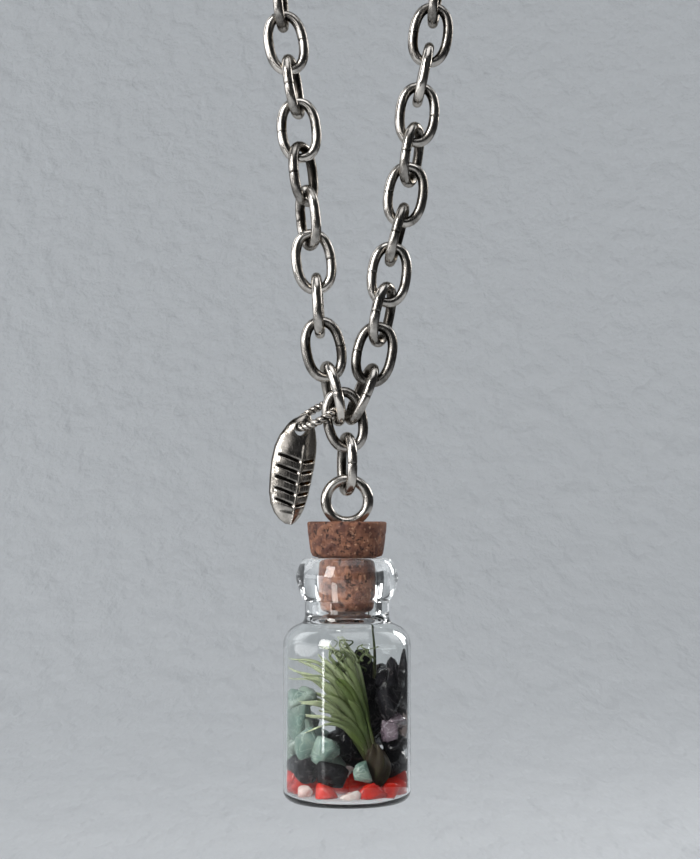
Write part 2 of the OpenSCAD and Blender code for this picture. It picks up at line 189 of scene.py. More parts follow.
def put(tree, socket, value):
    """Links a socket to a value that is another socket, or sets it."""
    if isinstance(value, bpy.types.NodeSocket):
        tree.links.new(value, socket)
    else:
        socket.default_value = value


def add(tree, kind, **values):
    """A node of that kind: values with a capital set sockets, the others set its own fields."""
    node = tree.nodes.new(kind)
    for key, value in values.items():
        if key[0].isupper():
            put(tree, node.inputs[key.replace("_", " ")], value)
        else:
            setattr(node, key, value)
    return node


def math_node(tree, operation, a, b=0.0, c=0.0, clamp=False):
    """A Math node's outcome for values or sockets."""
    node = add(tree, "ShaderNodeMath", operation=operation, use_clamp=clamp)
    for socket, value in zip(node.inputs, (a, b, c)):
        put(tree, socket, value)
    return node.outputs[0]


def times(tree, value, factor, base=0.0):
    """value * factor + base"""
    return math_node(tree, "MULTIPLY_ADD", value, factor, base)


def mix(tree, factor, a, b):
    """Colour a where the factor is 0 and b where it is 1."""
    node = add(tree, "ShaderNodeMix", data_type="RGBA")
    for socket, value in zip((node.inputs[0], node.inputs[6], node.inputs[7]), (factor, a, b)):
        put(tree, socket, value)
    return node.outputs[2]


def ramp(tree, value, low, high):
    """0 below low, 1 above high and even between."""
    return add(tree, "ShaderNodeMapRange", Value=value, From_Min=low, From_Max=high).outputs[0]


def own_place(tree):
    """The place on the piece, in its own metres."""
    return add(tree, "ShaderNodeTexCoord").outputs["Object"]


def stretched(tree, place, scale):
    """The place with each axis scaled by its own factor."""
    return add(tree, "ShaderNodeMapping", Vector=place, Scale=scale).outputs[0]


def noise(tree, place, scale, detail, **more):
    """Cloudy values round a half, with that many clouds a metre."""
    return add(tree, "ShaderNodeTexNoise", Vector=place, Scale=scale, Detail=detail, **more).outputs[0]


COLOUR, FLOAT = "NodeSocketColor", "NodeSocketFloat"
GLOSS = [("Roughness", FLOAT), ("Height", FLOAT)]
SKIN = [("Colour", COLOUR)] + GLOSS


def group(name, inputs, outputs):
    """A new node group with named sockets, and its inner inputs and output node."""
    tree = bpy.data.node_groups.new(name, "ShaderNodeTree")
    for label, kind, default in inputs:
        socket = tree.interface.new_socket(label, in_out="INPUT", socket_type=kind)
        socket.default_value = default
    for label, kind in outputs:
        tree.interface.new_socket(label, in_out="OUTPUT", socket_type=kind)
    return tree, tree.nodes.new("NodeGroupInput").outputs, tree.nodes.new("NodeGroupOutput")


def send(tree, out, **values):
    """Links each value to the group's output of that name."""
    for key, value in values.items():
        tree.links.new(value, out.inputs[key])


def worn_and_shaded_silver_group():
    """Antique plating: dark in cloudy patches of patina and where its mark of dark places says, which is
    patina in hollows and also painted shade on inner sides and in creases; bright on what stands
    proud, with fine scratches in its gloss."""
    inputs = [("Bright", COLOUR, (0.5, 0.48, 0.45, 1)), ("Dark", COLOUR, (0.08, 0.075, 0.07, 1)),
              ("Hollow", FLOAT, 0.0), ("Tone", FLOAT, 0.5), ("Patina", FLOAT, 0.4)]
    tree, given, out = group("Worn and shaded silver", inputs, SKIN)
    place = own_place(tree)
    cloud = noise(tree, place, 620.0, 4.0, Roughness=0.6)
    fine = noise(tree, place, 5200.0, 3.0)
    scratch = noise(tree, stretched(tree, place, (9000, 9000, 900)), 1.0, 2.0)
    dark = times(tree, ramp(tree, cloud, 0.42, 0.68), given["Patina"])
    # Darker where the mark of dark places says: patina in hollows, and painted shade on inner sides and in
    # creases
    dark = math_node(tree, "ADD", dark, given["Hollow"], clamp=True)
    dark = math_node(tree, "ADD", dark, times(tree, given["Tone"], 0.5), clamp=True)
    colour = mix(tree, dark, given["Bright"], given["Dark"])
    rough = times(tree, ramp(tree, scratch, 0.45, 0.8), 0.14, times(tree, dark, 0.16, 0.11))
    height = times(tree, fine, 0.4, times(tree, scratch, 0.5))
    send(tree, out, Colour=colour, Roughness=rough, Height=height)
    return tree


def cork_group():
    """Pressed cork: mottled warm brown grains, dark pores and pale flecks."""
    inputs = [("Light", COLOUR, (0.3, 0.128, 0.068, 1)), ("Deep", COLOUR, (0.085, 0.028, 0.017, 1))]
    tree, given, out = group("Cork grain", inputs, SKIN)
    place = own_place(tree)
    grain = add(tree, "ShaderNodeTexVoronoi", Vector=place, Scale=1500.0, Randomness=1.0)
    cloud = noise(tree, place, 900.0, 5.0, Roughness=0.65)
    pore = noise(tree, place, 2300.0, 3.0, Roughness=0.7)
    fleck = noise(tree, place, 3100.0, 2.0)
    tint = times(tree, add(tree, "ShaderNodeSeparateColor", Color=grain.outputs["Color"]).outputs[0], 0.6)
    deep = math_node(tree, "ADD", ramp(tree, cloud, 0.35, 0.75), tint, clamp=True)
    colour = mix(tree, deep, given["Light"], given["Deep"])
    colour = mix(tree, times(tree, ramp(tree, fleck, 0.62, 0.72), 0.6), colour, (0.5, 0.29, 0.18, 1))
    pores = ramp(tree, pore, 0.56, 0.63)
    colour = mix(tree, pores, colour, (0.035, 0.014, 0.01, 1))
    height = times(tree, pores, -0.8, cloud)
    send(tree, out, Colour=colour, Roughness=times(tree, pores, 0.15, 0.72), Height=height)
    return tree


def stone_group():
    """Tumbled stone: two colours in clouds, thin veins and fine chips in its polish."""
    inputs = [("First", COLOUR, (0.5, 0.5, 0.5, 1)), ("Second", COLOUR, (0.3, 0.3, 0.3, 1)),
              ("Vein", COLOUR, (0.8, 0.8, 0.8, 1)), ("Veins", FLOAT, 0.3), ("Tone", FLOAT, 0.5)]
    tree, given, out = group("Tumbled stone", inputs, SKIN)
    place = own_place(tree)
    cloud = noise(tree, place, 780.0, 4.0, Distortion=0.6)
    line = noise(tree, place, 560.0, 3.0, Distortion=1.4)
    fine = noise(tree, place, 3600.0, 3.0)
    shift = math_node(tree, "SUBTRACT", given["Tone"], 0.5)
    tone = math_node(tree, "ADD", ramp(tree, cloud, 0.35, 0.7), shift, clamp=True)
    near = math_node(tree, "ABSOLUTE", math_node(tree, "SUBTRACT", line, 0.5))
    vein = times(tree, ramp(tree, near, 0.02, 0.0), given["Veins"])
    colour = mix(tree, vein, mix(tree, tone, given["First"], given["Second"]), given["Vein"])
    rough = times(tree, ramp(tree, fine, 0.45, 0.75), 0.24, 0.09)
    send(tree, out, Colour=colour, Roughness=rough, Height=fine)
    return tree


def leaf_group():
    """Dry blades: brown at the foot, deep green along them and grey-green at the tips, with fine
    lines along each blade."""
    tree, given, out = group("Dry blade", [("Along", FLOAT, 0.5), ("Tone", FLOAT, 0.5)], SKIN)
    place = own_place(tree)
    cloud = noise(tree, place, 700.0, 3.0)
    lines = noise(tree, stretched(tree, place, (6500, 6500, 700)), 1.0, 2.0)
    along = times(tree, math_node(tree, "SUBTRACT", cloud, 0.5), 0.35, given["Along"])
    green = mix(tree, given["Tone"], (0.012, 0.022, 0.002, 1), (0.062, 0.088, 0.02, 1))
    pale = mix(tree, given["Tone"], (0.045, 0.068, 0.01, 1), (0.36, 0.4, 0.26, 1))
    colour = mix(tree, ramp(tree, along, 0.12, 0.34), (0.016, 0.009, 0.004, 1), green)
    colour = mix(tree, ramp(tree, along, 0.4, 0.9), colour, pale)
    colour = mix(tree, times(tree, ramp(tree, lines, 0.5, 0.8), 0.45), colour, (0.035, 0.055, 0.012, 1))
    send(tree, out, Colour=colour, Roughness=times(tree, lines, 0.2, 0.5), Height=lines)
    return tree


def glass_group():
    """Handled glass: a faint haze of smudges in its gloss, and the slow waves of blown glass."""
    tree, given, out = group("Handled glass", [("Haze", FLOAT, 0.05)], GLOSS)
    place = own_place(tree)
    smudge = noise(tree, place, 260.0, 5.0, Roughness=0.7)
    rough = times(tree, ramp(tree, smudge, 0.5, 0.8), given["Haze"])
    send(tree, out, Roughness=rough, Height=noise(tree, place, 170.0, 1.0))
    return tree


def dressed(name, effect, bump, distance, marks=(), inputs=(), **shader):
    """A material whose Principled shader takes colour, roughness and relief from an effect group.
    Marks are point attributes that feed the group's inputs of the same names."""
    material = bpy.data.materials.new(name)
    tree = nodes_of(material)
    bsdf = tree.nodes["Principled BSDF"]
    node = tree.nodes.new("ShaderNodeGroup")
    node.node_tree = effect
    for key, value in dict(inputs).items():
        node.inputs[key].default_value = value
    for key in marks:
        mark = add(tree, "ShaderNodeAttribute", attribute_name=key.lower())
        tree.links.new(mark.outputs["Fac"], node.inputs[key])
    if "Colour" in node.outputs:
        tree.links.new(node.outputs["Colour"], bsdf.inputs["Base Color"])
    tree.links.new(node.outputs["Roughness"], bsdf.inputs["Roughness"])
    relief = add(tree, "ShaderNodeBump", Strength=bump, Distance=distance, Height=node.outputs["Height"])
    tree.links.new(relief.outputs[0], bsdf.inputs["Normal"])
    for key, value in shader.items():
        bsdf.inputs[key.replace("_", " ")].default_value = value
    return material


SILVER, CORK, STONE, LEAF = worn_and_shaded_silver_group(), cork_group(), stone_group(), leaf_group()
# Worn metal doesn't turn white at grazing angles
METAL = {"Metallic": 1.0, "Specular_Tint": (0.45, 0.42, 0.38, 1)}
CHAIN_TONES = {"Bright": (0.74, 0.7, 0.65, 1), "Dark": (0.04, 0.036, 0.032, 1), "Patina": 0.5}
CLASP_TONES = {**CHAIN_TONES, "Tone": 0.3}
CHARM_TONES = {"Bright": (0.74, 0.69, 0.63, 1), "Dark": (0.018, 0.015, 0.013, 1), "Patina": 0.6,
               "Tone": 0.4}
# The chain and the charm read a mark of dark places: patina in hollows and painted shade
chain_metal = dressed("Chain metal", SILVER, 0.25, 0.00003, marks=("Hollow", "Tone"),
                      inputs=CHAIN_TONES, **METAL)
clasp_metal = dressed("Clasp metal", SILVER, 0.25, 0.00003, inputs=CLASP_TONES, **METAL)
charm_metal = dressed("Charm metal", SILVER, 0.35, 0.00003, marks=("Hollow",),
                      inputs=CHARM_TONES, **METAL)
cork_skin = dressed("Cork", CORK, 0.8, 0.00012)
leaf_skin = dressed("Air plant", LEAF, 0.4, 0.00004, marks=("Along", "Tone"), Specular_IOR_Level=0.2)


def clear_glass():
    """The vial's glass, which lets the lamps through with hardly any shadow."""
    material = dressed("Glass", glass_group(), 0.08, 0.0002, Transmission_Weight=1.0, IOR=1.45,
                       Base_Color=(0.975, 0.99, 0.985, 1))
    tree = material.node_tree
    shadow = add(tree, "ShaderNodeLightPath").outputs["Is Shadow Ray"]
    tree.links.new(times(tree, shadow, -0.92, 1.0), tree.nodes["Principled BSDF"].inputs["Alpha"])
    return material


glass_skin = clear_glass()
# Each letter's node, slot, clearness, specular level, coat and colours
STONES = {
    "r": ("red_chips", "red_stone", 0.35, 0.16, 0.0,
          {"First": (0.34, 0.006, 0.004, 1), "Second": (0.62, 0.02, 0.007, 1),
           "Vein": (0.7, 0.16, 0.09, 1), "Veins": 0.3}),
    "k": ("black_chips", "black_stone", 0.0, 0.16, 0.0,
          {"First": (0.002, 0.002, 0.003, 1), "Second": (0.007, 0.0065, 0.008, 1),
           "Vein": (0.3, 0.27, 0.27, 1), "Veins": 0.18}),
    "g": ("green_chips", "green_stone", 0.0, 0.4, 0.4,
          {"First": (0.15, 0.195, 0.165, 1), "Second": (0.07, 0.12, 0.1, 1),
           "Vein": (0.42, 0.48, 0.44, 1), "Veins": 0.4}),
    "c": ("clear_chips", "clear_stone", 0.5, 0.4, 0.4,
          {"First": (0.8, 0.7, 0.66, 1), "Second": (0.66, 0.5, 0.46, 1),
           "Vein": (0.95, 0.92, 0.9, 1), "Veins": 0.5}),
    "p": ("purple_chip", "purple_stone", 0.4, 0.4, 0.4,
          {"First": (0.22, 0.17, 0.2, 1), "Second": (0.12, 0.085, 0.11, 1),
           "Vein": (0.6, 0.56, 0.6, 1), "Veins": 0.5})}


# Chain: links of round wire, each with the hair line where its ends meet

def link_path(length, width):
    """Centre line of a link in its own plane: an oval with a little more shoulder than an ellipse,
    x to the power n plus z to the power n being constant, with close points at the join half way up
    its right side; and the outward direction and the distance from the join."""
    n, steps = 2.35, 36
    close = np.array([0.02, 0.045, 0.09])
    turn = np.sort(np.concatenate([around(steps), close, FULL_TURN - close]))
    c, s = np.cos(turn), np.sin(turn)
    x = width / 2 * np.sign(c) * np.abs(c) ** (2 / n)
    z = length / 2 * np.sign(s) * np.abs(s) ** (2 / n)
    way = unit(np.stack([np.roll(x, -1) - np.roll(x, 1), np.roll(z, -1) - np.roll(z, 1)], -1))
    gap = np.where(x > 0.8 * width / 2, np.abs(z), 9)
    return x, z, np.stack([way[:, 1], -way[:, 0]], -1), gap


def link_shape(length, width, wire):
    """A link: the wire's circle carried along the centre line, a little thinner at the join.
    Returns points, quads and how dark each point is: a dark line at the join, and painted shade
    on the wire's inner side, where the next links sit."""
    steps = 12
    x, z, out, gap = link_path(length - wire, width - wire)
    turn = around(steps)
    r = wire / 2 * (1 - 0.07 * np.exp(-(gap / 0.05) ** 2))[:, None]
    side, face = r * np.cos(turn), r * np.sin(turn)
    points = np.stack([x[:, None] + out[:, :1] * side, face, z[:, None] + out[:, 1:] * side], -1)
    # A dark line at the join, and painted shade on the inner side of the wire, which faces the link's hole
    # and the next links
    hollow = 0.5 * np.exp(-(gap / 0.06) ** 2)[:, None] + 0.7 * np.clip(-np.cos(turn) - 0.1, 0, 1)
    return points.reshape(-1, 3), ring_faces(len(x), steps), hollow.ravel()


def links(name, body, node, length, poses, seed):
    """Copies of one link at each pose, a turn and a middle, with the join on a seeded side."""
    points, quads, hollow = link_shape(length, LINK_W, WIRE)
    rng = np.random.default_rng(seed)
    turns = np.stack([turn @ turn_z(180 * rng.integers(2)) for turn, _ in poses])
    middles = np.stack([middle for _, middle in poses])
    all_points = np.einsum("kij,nj->kni", turns, points) + middles[:, None]
    all_quads = quads + np.arange(len(poses))[:, None, None] * len(points)
    tones = rng.uniform(0, 1, len(poses))
    solid(name, body, chain_metal, all_points.reshape(-1, 3), all_quads.reshape(-1, 4), node, "silver",
          hollow=np.tile(hollow, len(poses)), tone=np.repeat(tones, len(points)))


def strand_poses(side, foot, load, straight, run, count, sways, twists):
    """Poses of one strand's links: its joints follow a chain under its own weight and then the
    round top, and each link lies between two joints, turned about its own length."""
    s = np.arange(count + 1) * run / count
    up = np.hypot(load + s, SAG) - math.hypot(load, SAG)
    out = SAG * (np.arcsinh((load + s) / SAG) - math.asinh(load / SAG))
    turn = (s - straight) / TOP_R
    x = np.where(s < straight, foot[0] + side * out, MIDDLE_X + side * (CLASP_REACH + TOP_R * np.cos(turn)))
    z = np.where(s < straight, foot[1] + up, TOP_Z - TOP_R + TOP_R * np.sin(turn))
    x[:len(sways)] += side * np.array(sways)
    poses = []
    for i in range(count):
        dx, dz = x[i + 1] - x[i], z[i + 1] - z[i]
        twist = twists[i] if i < len(twists) else EVEN_TWIST[(i - len(twists)) % 2]
        poses.append((turn_y(math.degrees(math.atan2(dx, dz))) @ turn_z(twist),
                      np.array([(x[i] + x[i + 1]) / 2, 0, (z[i] + z[i + 1]) / 2])))
    return poses


def chain():
    """Both strands, the centre link and the drop link. The left strand has its links at full
    stretch, and the right one ends at the same height."""
    left_run = LEFT_LINKS * (LINK_L - 2 * WIRE - PLAY)
    left_straight = left_run - TOP_R * math.pi / 2
    left_top = LEFT_FOOT[1] + math.hypot(LEFT_LOAD + left_straight, SAG) - math.hypot(LEFT_LOAD, SAG)
    right_rise = left_top - RIGHT_FOOT[1] + math.hypot(RIGHT_LOAD, SAG)
    right_straight = math.sqrt(right_rise ** 2 - SAG ** 2) - RIGHT_LOAD
    right_run = right_straight + TOP_R * math.pi / 2
    left = strand_poses(-1, LEFT_FOOT, LEFT_LOAD, left_straight, left_run, LEFT_LINKS, LEFT_SWAY, LEFT_TWIST)
    right = strand_poses(1, RIGHT_FOOT, RIGHT_LOAD, right_straight, right_run, RIGHT_LINKS,
                         RIGHT_SWAY, RIGHT_TWIST)
    drop_middle = np.array([0, 0, DROP_LOW + (DROP_L - WIRE) / 2])
    links("left_strand", "necklace", "chain_left", LINK_L, left, 3)
    links("right_strand", "necklace", "chain_right", LINK_L, right, 4)
    links("centre_ring_link", "necklace", "centre_link", LINK_L, [(turn_y(-CENTRE_LEAN), CENTRE)], 5)
    links("drop_ring_link", "drop", "drop_link", DROP_L, [(turn_z(-DROP_TURN), drop_middle)], 6)


chain()
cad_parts["clasp"].data.materials.clear()
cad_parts["clasp"].data.materials.append(clasp_metal)


# Charm on its ring of twisted wire

# The charm's ring lies in the X and Z plane before it is leant and turned
RING_POSE = turn_z(-RING_TURN) @ turn_x(-RING_LEAN)


def twisted_ring():
    """Two wires twisted round each other and bent to a ring: a two-lobed section that turns 13
    times on its way round."""
    rows, cols, twists, wire = 300, 18, 13, 0.37
    t = around(rows)[:, None]
    v = around(cols)
    lobes = np.abs(np.cos(v + twists * t))
    r = wire * (0.62 + 0.38 * lobes ** 0.7)
    out = RING_R + r * np.cos(v)
    flat = np.stack([out * np.cos(t), -r * np.sin(v), out * np.sin(t)], -1)
    points = flat.reshape(-1, 3) @ RING_POSE.T + RING_MID
    # The crease between the two wires is darker: patina and painted shade
    solid("twisted_ring", "necklace", charm_metal, points, ring_faces(rows, cols), "charm_ring",
          "charm_metal", hollow=(0.9 * (1 - lobes) ** 2).ravel())


def feather():
    """A folded feather: two curved halves that meet at a raised midrib, with slanting grooves
    between rounded barbs, a smooth top with a hole, and a wall that gets thinner to its edges.
    Front and back are one grid of across (u) and up (v), joined along every open edge."""
    length, half, wall, fold = 9.7, 2.4, 0.7, math.radians(28)
    rows, cols = 171, 81
    outline = np.array([[0, 0.14], [0.03, 0.36], [0.08, 0.57], [0.16, 0.77], [0.26, 0.89], [0.4, 0.96],
                        [0.55, 1], [0.68, 0.97], [0.78, 0.86], [0.87, 0.66], [0.94, 0.42], [1, 0.14]])
    u, v = np.meshgrid(np.linspace(-1, 1, cols), np.linspace(0, 1, rows))
    w = np.interp(v, outline[:, 0], outline[:, 1])
    x, z = half * u * math.cos(fold) * w, length * v
    # The points near the hole move out to its edge
    hole, hole_r, left_out, reach = np.array([-0.21 * half * math.cos(fold), 0.865 * length]), 0.62, 0.4, 1.1
    far = np.hypot(x - hole[0], z - hole[1])
    moved = np.where(far < reach, hole_r + (far - left_out) * (reach - hole_r) / (reach - left_out), far)
    x = hole[0] + (x - hole[0]) * moved / np.maximum(far, 1e-6)
    z = hole[1] + (z - hole[1]) * moved / np.maximum(far, 1e-6)
    au = np.abs(u)
    bend = half * math.sin(fold) * au ** 1.5 * w
    step = (v - 0.065 - 0.05 * au) * 10
    groove = np.exp(-((step - np.round(step)) / 0.12) ** 2)
    barbed = fade(au, 0.07, 0.06) * fade(-au, -0.9, 0.08) * fade(-v, -0.66, 0.04) * fade(v, 0.12, 0.04)
    cut = 0.2 * groove * barbed
    puff = 0.06 * barbed * (1 - groove)
    rib = 0.13 * np.exp(-(au / 0.07) ** 2) * fade(-v, -0.76, 0.05)
    thick = wall * (1 - 0.5 * au ** 6) * np.clip(0.45 + 6 * np.minimum(v, 1 - v), 0, 1)
    front = bend - thick / 2 + cut - puff - rib
    back = bend + thick / 2 - 0.35 * cut
    keep = (far > left_out).ravel()
    quads = grid_faces(rows, cols)
    quads = quads[keep[quads].all(axis=1)]
    # An edge that no second quad shares is an open one
    edges = np.concatenate([quads[:, [k, (k + 1) % 4]] for k in range(4)])
    n = u.size
    code, back_code = edges[:, 0] * n + edges[:, 1], edges[:, 1] * n + edges[:, 0]
    rimmed = edges[~np.isin(code, back_code)]
    walls = np.stack([rimmed[:, 1], rimmed[:, 0], rimmed[:, 0] + n, rimmed[:, 1] + n], -1)
    faces = np.concatenate([quads, quads[:, ::-1] + n, walls])
    points = np.concatenate([np.stack([x, y, z], -1).reshape(-1, 3) for y in (front, back)])
    # Darkening of the front: patina and painted shade in the grooves and among the barbs, and painted shade
    # on the smooth top; the back is a little darker all over and in its grooves
    front_shade_and_patina = 0.95 * groove * barbed + 0.2 * barbed + 0.3 * fade(v, 0.66, 0.1)
    hollow = np.concatenate([front_shade_and_patina.ravel(), (0.5 * groove * barbed + 0.15).ravel()])
    used, faces = np.unique(faces, return_inverse=True)
    # The hole hangs on the ring's lowest wire, and the feather leans a little
    hang = RING_MID - RING_R * RING_POSE[:, 2] + [0, 0.1, -0.1]
    points = (points[used] - [hole[0], 0, hole[1]]) @ (turn_y(9.5) @ turn_z(90 - RING_TURN)).T + hang
    solid("feather", "necklace", charm_metal, points, faces.reshape(-1, 4), "feather_charm", "charm_metal",
          hollow=hollow[used])


twisted_ring()
feather()


# Pendant: turned pieces are a profile of radius and height carried round the axis

def turned(profile, steps):
    """Points of a profile turned round the axis, with a row of steps for each of its points."""
    profile = np.asarray(profile, float)
    turn = around(steps)
    height = np.broadcast_to(profile[:, None, 1], (len(profile), steps))
    return np.stack([profile[:, None, 0] * np.cos(turn), profile[:, None, 0] * np.sin(turn), height], -1)


def smooth(points):
    """Cuts the corners of an open line of points three times over, and keeps its ends."""
    p = np.asarray(points, float)
    for _ in range(3):
        a, b = p[:-1], p[1:]
        cut = np.stack([a * 0.75 + b * 0.25, a * 0.25 + b * 0.75], 1).reshape(-1, 2)
        p = np.concatenate([p[:1], cut, p[-1:]])
    return p


def screw_eye():
    """The ring of the screw eye, a little thinner where its end meets the screw, and the screw."""
    rows, cols, screw_rows, join_at, pitch = 96, 20, 60, 4.45, 0.55
    t = around(rows)[:, None]
    v = around(cols)
    ring_r = (EYE_D - EYE_WIRE) / 2
    r = EYE_WIRE / 2 * (1 - 0.05 * np.exp(-((t - join_at) / 0.03) ** 2))
    out = ring_r + r * np.cos(v)
    ring = np.stack([out * np.cos(t), -r * np.sin(v) + 0 * t, EYE_Z + out * np.sin(t)], -1)
    z = np.linspace(0, -SCREW_L, screw_rows)[:, None]
    thread = 0.8 + 0.18 * np.cos(v - z * FULL_TURN / pitch)
    thread = EYE_WIRE / 2 * thread * np.clip((z + SCREW_L) / 1.2, 0.02, 1) ** 0.6
    shank = np.stack([thread * np.cos(v), thread * np.sin(v), EYE_Z - ring_r + z + 0 * v], -1)
    # Painted shade on the inner side of the eye's ring; the screw, hidden in the cork, is half dark all over
    ring_shade_and_patina = 0.25 * np.clip(-np.cos(v) - 0.4, 0, 1) + 0 * t
    shank_shade_and_patina = np.full(screw_rows * cols, 0.5)
    points, quads, hollow = join([(ring.reshape(-1, 3), ring_faces(rows, cols), ring_shade_and_patina.ravel()),
                                  (shank.reshape(-1, 3), capped(screw_rows, cols), shank_shade_and_patina)])
    solid("screw_eye_ring", "pendant", chain_metal, points, quads, "screw_eye", "silver",
          hollow=hollow, tone=0.2)


def cork():
    """The stopper: its tapered head over the glass, its plug squeezed in the neck, and pits and
    crumbled edges from inward dents, deepest along the two rims."""
    rows, steps = 150, 200
    line = np.array([[AXIS_R, 0], [1.2, 0], [2.4, 0], [3.1, 0], [3.36, -0.03], [3.46, -0.14], [3.43, -0.5],
                     [3.4, -0.9], [3.33, -1.4], [3.27, -1.9], [3.2, -2.4], [3.14, -2.75], [3.02, -2.98],
                     [2.75, -3.08], [2.52, -3.1], [2.51, -3.4], [2.5, -4.2], [2.5, -5.0], [2.48, -5.6],
                     [2.42, -6.3], [2.36, -7.0], [2.3, -7.4], [2.1, -7.62], [1.6, -7.7], [0.8, -7.7],
                     [AXIS_R, -7.7]])
    run = np.concatenate([[0], np.cumsum(np.hypot(*np.diff(line, axis=0).T))])
    fine = np.linspace(0, run[-1], rows)
    profile = np.stack([np.interp(fine, run, line[:, 0]), np.interp(fine, run, line[:, 1])], -1)
    p = turned(profile, steps)
    pits = np.clip(wave(p, 11, 0.9) - 0.35, 0, 1)
    pits = pits + 0.8 * np.clip(wave(p, 12, 0.5) - 0.4, 0, 1)
    pits = pits + 0.4 * np.clip(wave(p, 17, 0.3) - 0.35, 0, 1)
    rim = np.exp(-((p[..., 2] + 0.05) / 0.35) ** 2) + 0.7 * np.exp(-((p[..., 2] + 2.95) / 0.3) ** 2)
    r = np.hypot(p[..., 0], p[..., 1])
    depth = (0.16 * pits + 0.22 * rim * np.clip(wave(p, 13, 1.2) - 0.15, 0, 1)) * np.clip(r / 0.5, 0, 1)
    p = p * np.stack([1 - depth / np.maximum(r, 0.4)] * 2 + [np.ones_like(r)], -1)
    p[..., 2] -= np.where(p[..., 2] > -0.1, 0.7 * depth, 0)
    solid("cork_stopper", "pendant", cork_skin, p.reshape(-1, 3), capped(rows, steps), "cork", "cork")


def arc(x, z, r, start, end):
    """Fourteen points of a round stretch of a profile, between two angles from its outward side."""
    a = np.radians(np.linspace(start, end, 14))
    return np.stack([x + r * np.cos(a), z + r * np.sin(a)], -1)


def glass():
    """The vial: outside from the pushed-up base over the shoulder to the bulged lip, and back down
    inside, as one profile."""
    steps, corner_r, inner_corner_r = 144, 1, 0.5
    bottle_r, neck_r, lip_r, bore_r = 5.525, 3.65, 4.435, 2.6
    lip_z, neck_z, shoulder_z = -3.14, -6.74, -10.665
    outer_shoulder_r, inner_shoulder_r = 1.875, 1.9
    wall_z = np.linspace(-22, -11.5, 12)
    base = [[AXIS_R, BASE_Z + 0.3], [1.8, BASE_Z + 0.26], [3.2, BASE_Z + 0.12], [4.1, BASE_Z]]
    lip = smooth([[4.2, shoulder_z + 1.8], [3.85, shoulder_z + 1.95], [neck_r, shoulder_z + 2.3],
                  [neck_r, neck_z - 0.9], [neck_r, neck_z - 0.2], [neck_r + 0.05, neck_z],
                  [4.0, neck_z + 0.32], [4.3, neck_z + 1.3], [lip_r + 0.03, neck_z + 1.9],
                  [4.33, neck_z + 2.45], [4.05, neck_z + 3.2], [3.75, lip_z - 0.05], [3.4, lip_z],
                  [2.95, lip_z], [bore_r, lip_z - 0.1], [bore_r, lip_z - 0.6]])
    inside = smooth([[bore_r, -5], [bore_r, -6.6], [bore_r, shoulder_z + 2.8],
                     [bore_r + 0.25, shoulder_z + 2.38], [bore_r + 0.75, shoulder_z + 2.0],
                     [INNER_R - 1.3, shoulder_z + 1.63]])
    p = turned(np.concatenate([
        base, arc(bottle_r - corner_r, BASE_Z + corner_r, corner_r, -88, 0),
        [[bottle_r, z] for z in wall_z],
        arc(bottle_r - outer_shoulder_r, shoulder_z, outer_shoulder_r, 0, 66), lip, inside,
        arc(INNER_R - inner_shoulder_r, shoulder_z - 0.2, inner_shoulder_r, 62, 0),
        [[INNER_R, z] for z in wall_z[::-1]],
        arc(INNER_R - inner_corner_r, FLOOR_Z + inner_corner_r, inner_corner_r, 0, -90),
        [[2.5, FLOOR_Z + 0.1], [AXIS_R, FLOOR_Z + 0.22]]]), steps)
    solid("glass_vial", "pendant", glass_skin, p.reshape(-1, 3), capped(len(p), steps), "bottle", "glass")


screw_eye()
cork()
glass()


# Filling

# Layers from the floor up: the letters of the stones round the wall and of those in the middle,
# with a dot for no stone
WALL_CHART = ["crrrrcrrrr", "k.kkrkkgkk", "..kkkkgggg", "..pkkk.ggg", "..kkk...g.", "..kkk....."]
MIDDLE_CHART = ["rrrr", "kkg.", "kk..", "k...", "k..."]
CHIP_R, CHIP_FLAT, CHIP_GAP = 1.08847, 0.78, 0.12
CHIP_LOW = FLOOR_Z + CHIP_FLAT * CHIP_R + CHIP_GAP
CHIP_PITCH = 2 * CHIP_FLAT * CHIP_R + CHIP_GAP
MIDDLE_R = 0.84 * CHIP_R
CHIP_ROWS, CHIP_COLS = 19, 30
# Stones that show through the front: letter, across, back (None for against the front glass),
# height, half width, half height
FRONT = [
    ("g", -3.9, None, -16.3, 1.05, 2.3), ("g", -4.7, None, -19.4, 0.8, 1.7),
    ("g", -1.7, None, -19.2, 1.45, 1.2), ("g", -3.2, None, -18.9, 0.95, 1.5),
    ("k", -3.4, None, -21.1, 1.0, 1.4), ("k", -1.2, None, -21.2, 1.5, 1.15),
    ("r", -1.8, None, -22.9, 1.15, 0.85), ("r", -4.7, None, -22.3, 0.8, 1.3),
    ("c", -3.5, None, -23.0, 0.75, 0.6), ("c", 0.35, None, -23.1, 0.85, 0.6),
    ("g", 1.35, -4.2, -21.0, 0.7, 1.2), ("r", 2.05, None, -23.0, 1.2, 0.9),
    ("r", 4.3, None, -22.3, 1.1, 1.25), ("r", 3.3, None, -23.0, 1.1, 0.9),
    ("k", 4.3, None, -20.3, 1.15, 1.6), ("p", 3.6, None, -17.8, 0.8, 1.05),
    # The tall narrow clear chip at 4.75 across and -16.9 high is a painted highlight: a pale sliver set
    # where a white upright streak of reflection shows
    ("c", 4.75, None, -16.9, 0.4, 1.8), ("k", 4.75, -0.6, -14.6, 0.6, 3.1),
    ("k", 3.75, None, -13.1, 0.65, 1.4), ("k", 3.6, None, -15.3, 0.95, 1.9),
    ("k", 1.3, 0.4, -13.6, 1.35, 2.3), ("k", 1.9, 0.2, -17.2, 1.4, 2.2),
    ("k", -0.3, 1.4, -13.6, 0.9, 1.3), ("k", 0.3, -1.2, -18.8, 1.3, 1.5),
    ("k", 4.2, 0.8, -17.5, 1.0, 2.0)]


def pressed_in(p, r):
    """Points moved straight in to that distance from the bottle's axis where they lie past it."""
    far = np.hypot(p[..., 0], p[..., 1])
    p[..., :2] *= np.minimum(1, r / np.maximum(far, 1e-6))[..., None]
    return p


